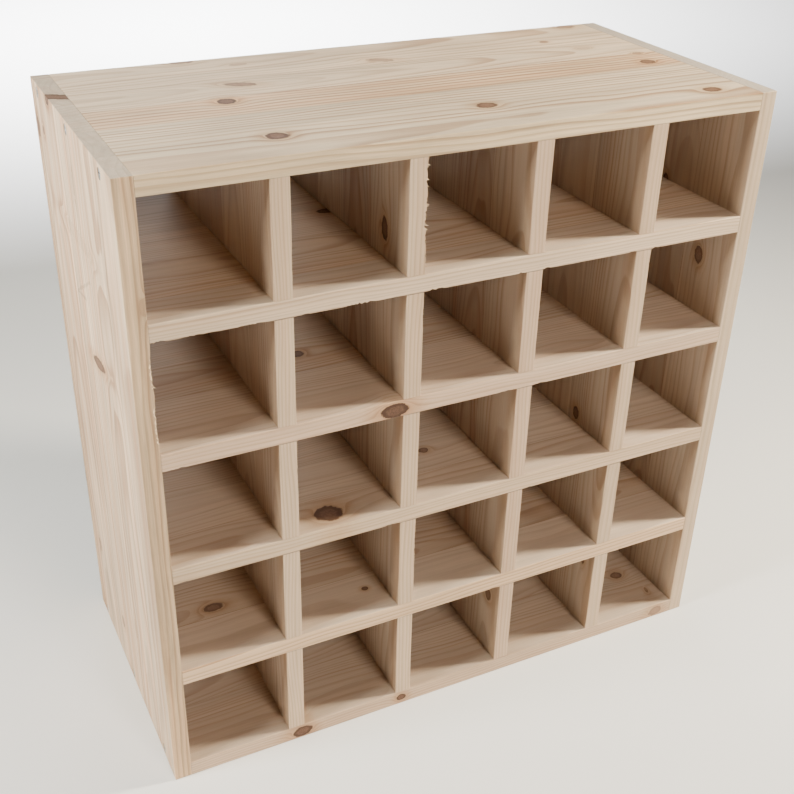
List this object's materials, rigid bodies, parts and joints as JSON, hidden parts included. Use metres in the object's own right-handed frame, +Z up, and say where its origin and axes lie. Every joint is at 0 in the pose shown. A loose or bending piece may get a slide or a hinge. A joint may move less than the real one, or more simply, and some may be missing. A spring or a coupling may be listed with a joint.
{
  "type": "wine rack",
  "caption": "Square free-standing pine wine rack, open front and back: a screwed box of side, top and bottom panels round an egg-crate grid of half-lapped shelves and dividers.",
  "frame": {"origin": "centre of the rack's footprint, on the surface it stands on", "axes": "+Z up; +X to the right as seen from the front; -Y is the front, so +Y runs along the bottles from front to back"},
  "size_m": [0.52, 0.25, 0.52],
  "materials": {
    "side_pine": "planed and sanded edge-glued pine, unfinished, grain upright",
    "carcass_pine": "planed and sanded edge-glued pine, unfinished, grain across the rack",
    "grid_pine": "planed edge-glued pine, unfinished, saw-cut notches",
    "beech_dowel": "fluted beech dowel rod",
    "zinc_screw": "bright zinc plate"
  },
  "bodies": {
    "root": {"side_panel_left": "side_pine", "side_panel_right": "side_pine", "top_panel": "carcass_pine", "bottom_panel": "carcass_pine", "shelf_1": "grid_pine", "shelf_2": "grid_pine", "shelf_3": "grid_pine", "shelf_4": "grid_pine", "divider_1": "grid_pine", "divider_2": "grid_pine", "divider_3": "grid_pine", "divider_4": "grid_pine", "top_left_screws": "zinc_screw", "top_right_screws": "zinc_screw", "bottom_left_screws": "zinc_screw", "bottom_right_screws": "zinc_screw", "shelf_dowels_left": "beech_dowel", "shelf_dowels_right": "beech_dowel", "divider_dowels_top": "beech_dowel", "divider_dowels_bottom": "beech_dowel"}
  },
  "joints": []
}
